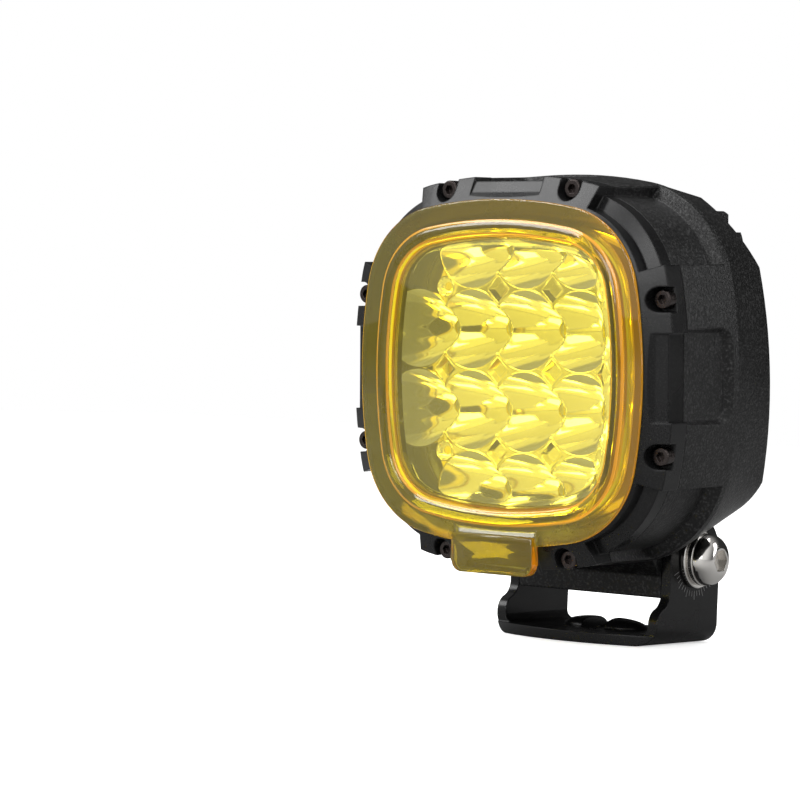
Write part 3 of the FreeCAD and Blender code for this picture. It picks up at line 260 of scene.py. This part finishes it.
MATERIALS = {
    "cast_black": coated_black(
        "powder_coat", (0.005, 0.005, 0.005), (0.04, 0.04, 0.04), (0.3, 0.42),
        grain_scale=850.0, strength=1.0, distance=0.28 * MM, radius=1.5 * MM),
    "bezel_black": coated_black(
        "satin_black", (0.005, 0.005, 0.0052), (0.014, 0.014, 0.014), (0.24, 0.32),
        grain_scale=1400.0, strength=0.3, distance=0.06 * MM, radius=1.1 * MM),
    "bracket_black": coated_black(
        "gloss_black", (0.004, 0.004, 0.0042), (0.01, 0.01, 0.01), (0.18, 0.28),
        grain_scale=1500.0, strength=0.25, distance=0.06 * MM, radius=0.8 * MM),
    "stainless": metal("stainless", (0.72, 0.70, 0.67), (0.07, 0.16)),
    "black_oxide": metal("black_oxide", (0.05, 0.042, 0.04), (0.2, 0.34), 600.0, 0.25 * MM),
    "zinc": metal("zinc", (0.62, 0.63, 0.65), (0.2, 0.32)),
    "amber": amber_plastic(
        "amber_plastic", (1.0, 0.98, 0.93),
        clearness=1.0, painted_glow_colour=(1.0, 0.8, 0.08), glow=0.045),
    "clear_lens": clear_plastic(),
    # the reflector gets a painted glow (emission 0.07) that lightens its cups as if more light fell on them
    "reflector_silver": metal(
        "vacuum_silver_painted_glow", (0.95, 0.95, 0.94), (0.04, 0.08), 60.0, 0.05 * MM, glow=0.07),
    "seal_black": plain("silicone", (0.02, 0.02, 0.02), 0.6),
    "board_white": plain("white_mask", (0.75, 0.76, 0.74), 0.4),
    "board_green": plain("green_mask", (0.03, 0.2, 0.08), 0.35),
    "emitter_yellow": plain("phosphor", (0.85, 0.72, 0.12), 0.3),
    "pad_grey": plain("thermal_pad", (0.3, 0.31, 0.33), 0.7),
    "black_plastic": plain("black_plastic", (0.02, 0.02, 0.021), 0.42),
}
# painted light: an orange colour and orange emission for the cover's edge strips, standing in for light carried
# inside the plastic
AMBER_PAINTED_GLOW_EDGE = amber_plastic(
    "amber_edge_painted_glow", (1.0, 0.5, 0.04),
    clearness=0.7, painted_glow_colour=(1.0, 0.47, 0.02), glow=0.16)
SLOT_OF = {part["node"]: part["material_slot"] for part in frame["record"]["subparts"]}
for name, part in frame["nodes"].items():
    for slot in part.material_slots:
        slot.material = MATERIALS[SLOT_OF[name]]


def finished(mesh_builder, name, slot, body, *replaced):
    """Turns a bmesh in lamp coordinates into a piece that rides on a body."""
    mesh = bpy.data.meshes.new(name)
    mesh_builder.to_mesh(mesh)
    mesh_builder.free()
    mesh.transform(LAMP)
    piece = bpy.data.objects.new(name, mesh)
    bpy.context.scene.collection.objects.link(piece)
    mesh.materials.append(MATERIALS[slot])
    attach(piece, body)
    if replaced:
        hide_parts(*replaced)
    return piece


# ---------------------------------------------------------------- reflector

RIM = -13.7
CUP_RADIUS, CUP_FOCUS, CUP_HOLE = 18.4, 2.35, 4.4
CUP_RINGS, CUP_THROAT = 15, 0.8
PITCH_ACROSS, PITCH_UP = 30.3, 37.2
PLATE_INSET, PLATE_STEPS = 11.4, (36, 30)
PLATE_THICKNESS = 1.8
RIM_BEAD, RIM_BEAD_LIFT, RIM_BEAD_STEPS = 0.42, 0.1, 96
STAR_BEAD, STAR_BEAD_GAP, SLOT_BEAD, BOSS_BEAD = 0.3, 0.5, 0.35, 0.4


def cup_rows():
    """(x, y, has a neighbour on the left, has a neighbour on the right) of every cup."""
    for row, reach in ((1.5, 1), (0.5, 2), (-0.5, 2), (-1.5, 1)):
        for column in range(-reach, reach + 1):
            yield column * PITCH_ACROSS, row * PITCH_UP, column > -reach, column < reach


def star_centres():
    """The flat stars between the cups."""
    middle = [(column * PITCH_ACROSS, 0) for column in (-1.5, -0.5, 0.5, 1.5)]
    outer = [(column * PITCH_ACROSS, row * PITCH_UP) for row in (-1, 1) for column in (-0.5, 0.5)]
    return middle + outer


MEET_ANGLE = math.atan2(math.sqrt(CUP_RADIUS**2 - (PITCH_ACROSS / 2) ** 2), PITCH_ACROSS / 2)


def cup_angles():
    """Angles round a cup, with one exactly where neighbouring cups' rims cross."""
    first = [MEET_ANGLE * i / 4 for i in range(4)]
    rest = [MEET_ANGLE + (math.pi / 2 - MEET_ANGLE) * i / 6 for i in range(6)]
    quadrant = first + rest
    mirrored = [math.pi - a for a in quadrant[1:]][::-1]
    half = quadrant + [math.pi / 2] + mirrored
    return half + [a + math.pi for a in half]


ANGLES = cup_angles()


def rim_radius(x, y, angle, left, right):
    """How far a cup's wall reaches from its axis in one direction."""
    radius = CUP_RADIUS
    run = math.cos(angle)
    if (right and run > 1e-6) or (left and run < -1e-6):
        radius = min(radius, PITCH_ACROSS / 2 / abs(run))
    while not inside_outline(x + radius * run, y + radius * math.sin(angle), PLATE_INSET + 0.25):
        radius -= 0.05
    return radius


def cup_height(radius):
    return RIM + (radius**2 - CUP_RADIUS**2) / (4 * CUP_FOCUS)


def add_cup(build, x, y, left, right):
    """A smooth parabolic cup, cut off where it meets its neighbours and the plate's edge."""
    grid = []
    for angle in ANGLES:
        reach = rim_radius(x, y, angle, left, right)
        strip = []
        for i in range(CUP_RINGS + 1):
            radius = CUP_HOLE + (reach - CUP_HOLE) * i / CUP_RINGS
            point = (x + radius * math.cos(angle), y + radius * math.sin(angle), cup_height(radius))
            strip.append(build.verts.new(point))
        throat_x, throat_y = x + CUP_HOLE * math.cos(angle), y + CUP_HOLE * math.sin(angle)
        throat = (throat_x, throat_y, cup_height(CUP_HOLE) - CUP_THROAT)
        strip.insert(0, build.verts.new(throat))
        grid.append(strip)
    count = len(grid)
    for k in range(count):
        here, there = grid[k], grid[(k + 1) % count]
        for i in range(CUP_RINGS + 1):
            face = build.faces.new((here[i], there[i], there[i + 1], here[i + 1]))
            face.smooth = True


def in_cup(x, y):
    return any(math.hypot(x - cx, y - cy) < CUP_RADIUS - 0.02 for cx, cy, _, _ in cup_rows())


SLOT_LOW, SLOT_HIGH = 33.5, 38.2
SLOT_FROM, SLOT_TO = math.radians(20), math.radians(70)
BOSS_ACROSS, BOSS_UP, BOSS_HOLE, BOSS_DEPTH = 45.45, 38.0, 4.6, 5.0
STEM_RADIUS, STEM_DROP = 2.1, 2.2
DIAMOND_OUTER, DIAMOND_INNER, DIAMOND_DEPTH = 5.8, 3.4, 1.9


def corner_slot(sx, sy):
    """The slot near each corner of the plate, as a closed outline."""
    steps = 12
    outer = [(SLOT_HIGH, SLOT_FROM + (SLOT_TO - SLOT_FROM) * i / steps) for i in range(steps + 1)]
    inner = [(SLOT_LOW, SLOT_TO - (SLOT_TO - SLOT_FROM) * i / steps) for i in range(steps + 1)]
    return [
        (sx * (CORNER_CENTRE + r * math.cos(a)), sy * (CORNER_CENTRE + r * math.sin(a)))
        for r, a in outer + inner
    ]


def circle(cx, cy, radius, steps=28):
    turn = [2 * math.pi * i / steps for i in range(steps)]
    return [(cx + radius * math.cos(a), cy + radius * math.sin(a)) for a in turn]


def in_slot(x, y):
    x, y = abs(x) - CORNER_CENTRE, abs(y) - CORNER_CENTRE
    return SLOT_LOW < math.hypot(x, y) < SLOT_HIGH and SLOT_FROM < math.atan2(y, x) < SLOT_TO


def in_boss(x, y):
    return math.hypot(abs(x) - BOSS_ACROSS, abs(y) - BOSS_UP) < BOSS_HOLE


def diamond(cx, cy, reach):
    return [(cx + reach, cy), (cx, cy + reach), (cx - reach, cy), (cx, cy - reach)]


def in_diamond(x, y):
    return any(abs(x - cx) + abs(y - cy) < DIAMOND_OUTER for cx, cy in star_centres())


def add_plate(build):
    """The flat face between the cups, with its openings cut out."""
    points, edges = [], []

    def loop(ring):
        start = len(points)
        points.extend(Vector(p) for p in ring)
        edges.extend((start + i, start + (i + 1) % len(ring)) for i in range(len(ring)))

    loop(outline(PLATE_INSET, *PLATE_STEPS))
    for cx, cy, _, _ in cup_rows():
        ring = []
        for angle in ANGLES:
            reach = rim_radius(cx, cy, angle, False, False)
            ring.append((cx + reach * math.cos(angle), cy + reach * math.sin(angle)))
        loop(ring)
    for cx, cy in star_centres():
        loop(diamond(cx, cy, DIAMOND_OUTER))
    for sx in (-1, 1):
        for sy in (-1, 1):
            loop(corner_slot(sx, sy))
            loop(circle(sx * BOSS_ACROSS, sy * BOSS_UP, BOSS_HOLE))
    verts, _, faces, *_ = delaunay_2d_cdt(points, edges, [], 0, 1e-5)
    made = [build.verts.new((p.x, p.y, RIM)) for p in verts]
    for face in faces:
        x = sum(verts[i].x for i in face) / len(face)
        y = sum(verts[i].y for i in face) / len(face)
        blocked = in_cup(x, y) or in_diamond(x, y) or in_slot(x, y) or in_boss(x, y)
        if blocked or not inside_outline(x, y, PLATE_INSET):
            continue
        build.faces.new([made[i] for i in face])
    for vert in made:
        if not vert.link_faces:
            build.verts.remove(vert)


def add_wall(build, ring, low, high):
    """A wall that joins a closed outline at two heights."""
    bottom = [build.verts.new((x, y, low)) for x, y in ring]
    top = [build.verts.new((x, y, high)) for x, y in ring]
    for i in range(len(ring)):
        j = (i + 1) % len(ring)
        build.faces.new((bottom[i], bottom[j], top[j], top[i]))
    return bottom, top


def add_diamond(build, cx, cy):
    """A square pocket with sloping walls and a flat floor."""
    floor = RIM - DIAMOND_DEPTH
    outer = [build.verts.new((x, y, RIM)) for x, y in diamond(cx, cy, DIAMOND_OUTER)]
    inner = [build.verts.new((x, y, floor)) for x, y in diamond(cx, cy, DIAMOND_INNER)]
    for i in range(4):
        j = (i + 1) % 4
        build.faces.new((inner[i], inner[j], outer[j], outer[i]))
    build.faces.new(inner)


def add_bead(build, path, radius):
    """A thin raised line along a closed path."""
    sides = 6
    rings = []
    count = len(path)
    for i, point in enumerate(path):
        along = (Vector(path[(i + 1) % count]) - Vector(path[i - 1])).normalized()
        side = along.cross(Vector((0, 0, 1)))
        side = side.normalized() if side.length > 1e-6 else Vector((1, 0, 0))
        over = side.cross(along)
        ring = []
        for k in range(sides):
            angle = 2 * math.pi * k / sides
            offset = radius * (math.cos(angle) * side + math.sin(angle) * over)
            ring.append(build.verts.new(Vector(point) + offset))
        rings.append(ring)
    for i in range(count):
        here, there = rings[i], rings[(i + 1) % count]
        for k in range(sides):
            j = (k + 1) % sides
            build.faces.new((here[k], here[j], there[j], there[k])).smooth = True


def reflector():
    build = bmesh.new()
    for x, y, left, right in cup_rows():
        add_cup(build, x, y, left, right)
        rim = []
        for i in range(RIM_BEAD_STEPS):
            angle = 2 * math.pi * i / RIM_BEAD_STEPS
            reach = rim_radius(x, y, angle, left, right)
            height = cup_height(reach) + RIM_BEAD_LIFT
            rim.append((x + reach * math.cos(angle), y + reach * math.sin(angle), height))
        add_bead(build, rim, RIM_BEAD)
    add_plate(build)
    for cx, cy in star_centres():
        add_diamond(build, cx, cy)
        ring = [(x, y, RIM) for x, y in diamond(cx, cy, DIAMOND_OUTER + STAR_BEAD_GAP)]
        add_bead(build, ring, STAR_BEAD)
    for sx in (-1, 1):
        for sy in (-1, 1):
            slot = corner_slot(sx, sy)
            add_wall(build, slot, RIM - PLATE_THICKNESS * 2, RIM)
            add_bead(build, [(x, y, RIM) for x, y in slot], SLOT_BEAD)
            well = circle(sx * BOSS_ACROSS, sy * BOSS_UP, BOSS_HOLE)
            bottom, _ = add_wall(build, well, RIM - BOSS_DEPTH, RIM)
            build.faces.new(bottom)
            stem = circle(sx * BOSS_ACROSS, sy * BOSS_UP, STEM_RADIUS)
            _, top = add_wall(build, stem, RIM - BOSS_DEPTH, RIM - STEM_DROP)
            build.faces.new(top)
            add_bead(build, [(x, y, RIM) for x, y in well], BOSS_BEAD)
    add_wall(build, outline(PLATE_INSET, *PLATE_STEPS), RIM - PLATE_THICKNESS, RIM)
    return finished(build, "reflector_face", "reflector_silver", "lamp", "reflector_array")


# ---------------------------------------------------------------- amber cover

COVER_PROFILE = [
    # inset from the body's outline, height
    (27.5, 6.9), (27.5, 1.8), (27.2, 1.5), (26.0, 1.5), (25.7, 1.8), (25.7, 6.7), (25.5, 6.9),
    (12.9, 6.9), (12.3, 7.4), (12.3, 8.4), (12.5, 8.75), (12.9, 8.9), (21.3, 8.9),
    (21.9, 9.1), (22.5, 9.6), (23.3, 10.1), (24.4, 10.35), (25.6, 10.35), (26.6, 10.1),
    (27.2, 9.6), (27.6, 9.1), (28.2, 8.9),
]


COVER_DOME = [(30.0, 8.95), (38.0, 9.5), (50.0, 10.0)]
COVER_HOLLOW = [(34.0, 7.3), (50.0, 7.9)]
DOME_TOP, HOLLOW_TOP = 10.3, 8.2
COVER_STEPS = (20, 26)
# the strips of the profile painted orange and given a painted glow, standing in for light carried along inside the
# plastic: the outer edge and both feet of the ridge
PAINTED_GLOW_RINGS = (8, 12, 13, 19, 20)


def add_cover_shell(build):
    """The cover's sheet, rolled ridge and skirt, swept round the outline, and its domed centre."""
    def ring(inset, height):
        return [build.verts.new((p.x, p.y, height)) for p in outline(inset, *COVER_STEPS)]

    rings = [ring(inset, height) for inset, height in COVER_PROFILE + COVER_DOME]
    count = len(rings[0])
    for k, (here, there) in enumerate(zip(rings, rings[1:])):
        for i in range(count):
            j = (i + 1) % count
            face = build.faces.new((here[i], here[j], there[j], there[i]))
            face.smooth = True
            # the listed strips get the material with the painted orange glow
            face.material_index = 1 if k in PAINTED_GLOW_RINGS else 0
    top = build.verts.new((0, 0, DOME_TOP))
    under = build.verts.new((0, 0, HOLLOW_TOP))
    hollow = [ring(inset, height) for inset, height in COVER_HOLLOW]
    inner = [rings[0]] + hollow
    for here, there in zip(inner, inner[1:]):
        for i in range(count):
            j = (i + 1) % count
            build.faces.new((here[j], here[i], there[i], there[j])).smooth = True
    for i in range(count):
        j = (i + 1) % count
        build.faces.new((rings[-1][i], rings[-1][j], top)).smooth = True
        build.faces.new((hollow[-1][j], hollow[-1][i], under)).smooth = True


def apply_modifiers(piece):
    graph = bpy.context.evaluated_depsgraph_get()
    mesh = bpy.data.meshes.new_from_object(piece.evaluated_get(graph))
    piece.modifiers.clear()
    piece.data = mesh


TAB_HALF, TAB_TOP, TAB_LOW = 22.6, -73.0, -90.4
TAB_BACK, TAB_FRONT, TAB_CORNER, TAB_ROUND = 6.95, 12.0, 5.0, 0.9


def tab_outline():
    """Front view of the pull tab: square at the top, round at its lower corners."""
    points = [(TAB_HALF, TAB_TOP), (-TAB_HALF, TAB_TOP)]
    low_left, low_right = -TAB_HALF + TAB_CORNER, TAB_HALF - TAB_CORNER
    for centre_x, start in ((low_left, math.pi), (low_right, 1.5 * math.pi)):
        for i in range(9):
            angle = start + i * math.pi / 16
            points.append((
                centre_x + TAB_CORNER * math.cos(angle),
                TAB_LOW + TAB_CORNER + TAB_CORNER * math.sin(angle),
            ))
    return points


def add_tab(build):
    bottom, top = add_wall(build, tab_outline(), TAB_BACK, TAB_FRONT)
    build.faces.new(bottom[::-1])
    build.faces.new(top)
    sharp = [edge for edge in build.edges if abs(edge.verts[0].co.z - edge.verts[1].co.z) < 0.1]
    bmesh.ops.bevel(build, geom=sharp, offset=TAB_ROUND, segments=4, profile=0.5, affect="EDGES")
    for face in build.faces:
        face.smooth = True


def join_solids(first, second):
    """Unites two closed meshes into one, so that light meets no wall between them."""
    union = first.modifiers.new("union", "BOOLEAN")
    union.operation = "UNION"
    union.solver = "EXACT"
    union.object = second
    bpy.context.view_layer.update()
    apply_modifiers(first)
    bpy.data.objects.remove(second)


def amber_cover():
    shell = bmesh.new()
    add_cover_shell(shell)
    bmesh.ops.recalc_face_normals(shell, faces=shell.faces)
    cover = finished(shell, "cover_shell", "amber", "cover", "amber_cover")
    cover.data.materials.append(AMBER_PAINTED_GLOW_EDGE)
    tab = bmesh.new()
    add_tab(tab)
    bmesh.ops.recalc_face_normals(tab, faces=tab.faces)
    mesh = bpy.data.meshes.new("tab_form")
    tab.to_mesh(mesh)
    tab.free()
    mesh.transform(LAMP)
    form = bpy.data.objects.new("tab_form", mesh)
    bpy.context.scene.collection.objects.link(form)
    join_solids(cover, form)
    return cover


# ---------------------------------------------------------------- marks on the bracket

MARK_FROM, MARK_SHORT, MARK_LONG, MARK_HALF = 15.0 * MM, 17.6 * MM, 19.0 * MM, 0.14 * MM
MARK_LIFT, MARK_STEP, MARKS_EACH_WAY = 0.02 * MM, 7.5, 9


def angle_marks():
    """Fine radial marks under each pivot bolt, for setting the same angle on two lights."""
    build = bmesh.new()
    bracket_low, bracket_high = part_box("mounting_bracket")
    for side in (-1, 1):
        face_x = (bracket_high.x + MARK_LIFT) if side > 0 else (bracket_low.x - MARK_LIFT)
        base = Vector((face_x, PIVOT.y, PIVOT.z))
        for i in range(-MARKS_EACH_WAY, MARKS_EACH_WAY + 1):
            angle = math.radians(270 + i * MARK_STEP)
            outer = MARK_LONG if i % 3 == 0 else MARK_SHORT
            along = Vector((0, math.cos(angle), math.sin(angle)))
            across = Vector((0, -math.sin(angle), math.cos(angle))) * MARK_HALF
            corners = [base + along * MARK_FROM - across, base + along * outer - across,
                       base + along * outer + across, base + along * MARK_FROM + across]
            inward = Vector((side * MARK_LIFT, 0, 0))
            below = [build.verts.new(corner - inward) for corner in corners]
            above = [build.verts.new(corner) for corner in corners]
            build.faces.new(above)
            for k in range(4):
                build.faces.new((below[k], below[(k + 1) % 4], above[(k + 1) % 4], above[k]))
    bmesh.ops.recalc_face_normals(build, faces=build.faces)
    mesh = bpy.data.meshes.new("angle_marks")
    build.to_mesh(mesh)
    build.free()
    piece = bpy.data.objects.new("angle_marks", mesh)
    bpy.context.scene.collection.objects.link(piece)
    mesh.materials.append(plain("grey_ink", (0.22, 0.22, 0.22), 0.5))
    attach(piece, "bracket")


reflector()
amber_cover()
angle_marks()


# ---------------------------------------------------------------- studio

def area_light(name, place, aim, width, height, power):
    data = bpy.data.lights.new(name, "AREA")
    data.shape = "RECTANGLE"
    data.size, data.size_y = width, height
    data.energy = power
    light = bpy.data.objects.new(name, data)
    light.location = place
    light.rotation_euler = (Vector(aim) - Vector(place)).to_track_quat("-Z", "Y").to_euler()
    bpy.context.scene.collection.objects.link(light)


def studio():
    aim = (0, -0.03, 0.12)
    area_light("key", (-0.9, -1.1, 1.3), aim, 1.1, 1.1, 34.0)
    area_light("front", (0.35, -1.7, 0.7), aim, 0.9, 0.9, 14.0)
    area_light("top", (0.1, 0.1, 1.5), aim, 1.0, 0.8, 12.0)
    area_light("side", (1.3, 0.9, 0.7), aim, 0.4, 1.2, 8.0)
    floor_mesh = bpy.data.meshes.new("floor")
    reach, gap = 4.0, 0.0002
    corners = [(-reach, -reach, 0), (reach, -reach, 0), (reach, reach, 0), (-reach, reach, 0)]
    floor_mesh.from_pydata(corners, [], [(0, 1, 2, 3)])
    floor = bpy.data.objects.new("floor", floor_mesh)
    floor.location.z = CAD_BOX[0][2] - gap
    bpy.context.scene.collection.objects.link(floor)
    pale = bpy.data.materials.new("pale_floor")
    pale.use_nodes = True
    tree = pale.node_tree
    surface = tree.nodes["Principled BSDF"]
    # brighter to the camera than to the object, which would reflect it
    seen = tree.nodes.new("ShaderNodeLightPath").outputs["Is Camera Ray"]
    tree.links.new(map_range(tree, seen, 0.3, 0.9, 0.0, 1.0), surface.inputs["Base Color"])
    tree.links.new(map_range(tree, seen, 0.0, 0.55, 0.0, 1.0), surface.inputs["Emission Strength"])
    surface.inputs["Roughness"].default_value = 0.8
    surface.inputs["Emission Color"].default_value = (1, 1, 1, 1)
    floor_mesh.materials.append(pale)
    world = bpy.data.worlds.new("studio")
    bpy.context.scene.world = world
    world.use_nodes = True
    tree = world.node_tree
    background = tree.nodes["Background"]
    background.inputs["Color"].default_value = (1, 1, 1, 1)
    coordinates = tree.nodes.new("ShaderNodeTexCoord")
    facing = tree.nodes.new("ShaderNodeVectorMath")
    facing.operation = "DOT_PRODUCT"
    facing.inputs[1].default_value = Vector((0.0, -0.85, 0.5)).normalized()
    tree.links.new(coordinates.outputs["Generated"], facing.inputs[0])
    glow = tree.nodes.new("ShaderNodeMapRange")
    glow.interpolation_type = "SMOOTHSTEP"
    glow.inputs["From Min"].default_value = -0.5
    glow.inputs["From Max"].default_value = 1.0
    glow.inputs["To Min"].default_value = 0.03
    glow.inputs["To Max"].default_value = 1.05
    tree.links.new(facing.outputs["Value"], glow.inputs["Value"])
    seen = tree.nodes.new("ShaderNodeLightPath")
    choose = tree.nodes.new("ShaderNodeMix")
    choose.data_type = "FLOAT"
    tree.links.new(seen.outputs["Is Camera Ray"], choose.inputs["Factor"])
    tree.links.new(glow.outputs["Result"], choose.inputs["A"])
    choose.inputs["B"].default_value = 1.0
    tree.links.new(choose.outputs["Result"], background.inputs["Strength"])


def camera():
    data = bpy.data.cameras.new("camera")
    data.lens = 134.0
    data.sensor_width = 36.0
    data.clip_end = 50.0
    view = bpy.data.objects.new("camera", data)
    view.location = (0.7955, -1.1704, 0.1219)
    view.rotation_euler = [math.radians(angle) for angle in (89.45, -2.24, 38.35)]
    bpy.context.scene.collection.objects.link(view)
    bpy.context.scene.camera = view


studio()
camera()
bpy.context.scene.view_settings.view_transform = "Standard"
